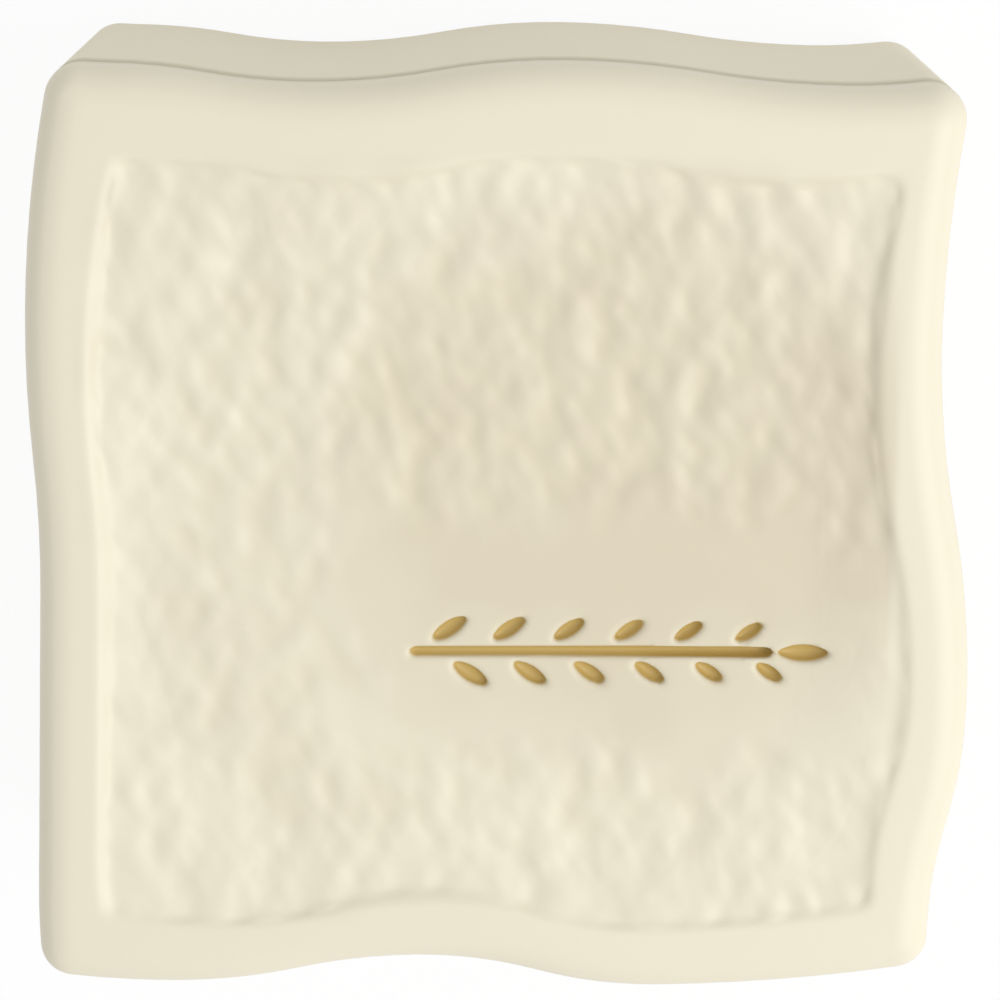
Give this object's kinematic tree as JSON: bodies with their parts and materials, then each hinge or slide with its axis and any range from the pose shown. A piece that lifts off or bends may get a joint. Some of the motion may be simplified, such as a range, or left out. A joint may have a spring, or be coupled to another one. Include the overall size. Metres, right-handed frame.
{
  "type": "bar of soap",
  "caption": "Square bar of soap with waved sides, a raised rim, a dished panel on the face, a pressed leaf sprig and a seam near the face.",
  "frame": {"origin": "centre of the bounding box, on the plane that the bar lies on", "axes": "+Z out of the pressed face, up as the bar lies on its back; +Y toward the head of the face; +X to the right of the face"},
  "size_m": [0.0698, 0.0704, 0.0285],
  "materials": {
    "soap": "smooth satin soap, faintly translucent"
  },
  "bodies": {
    "root": {"soap_bar": "soap"}
  },
  "joints": []
}
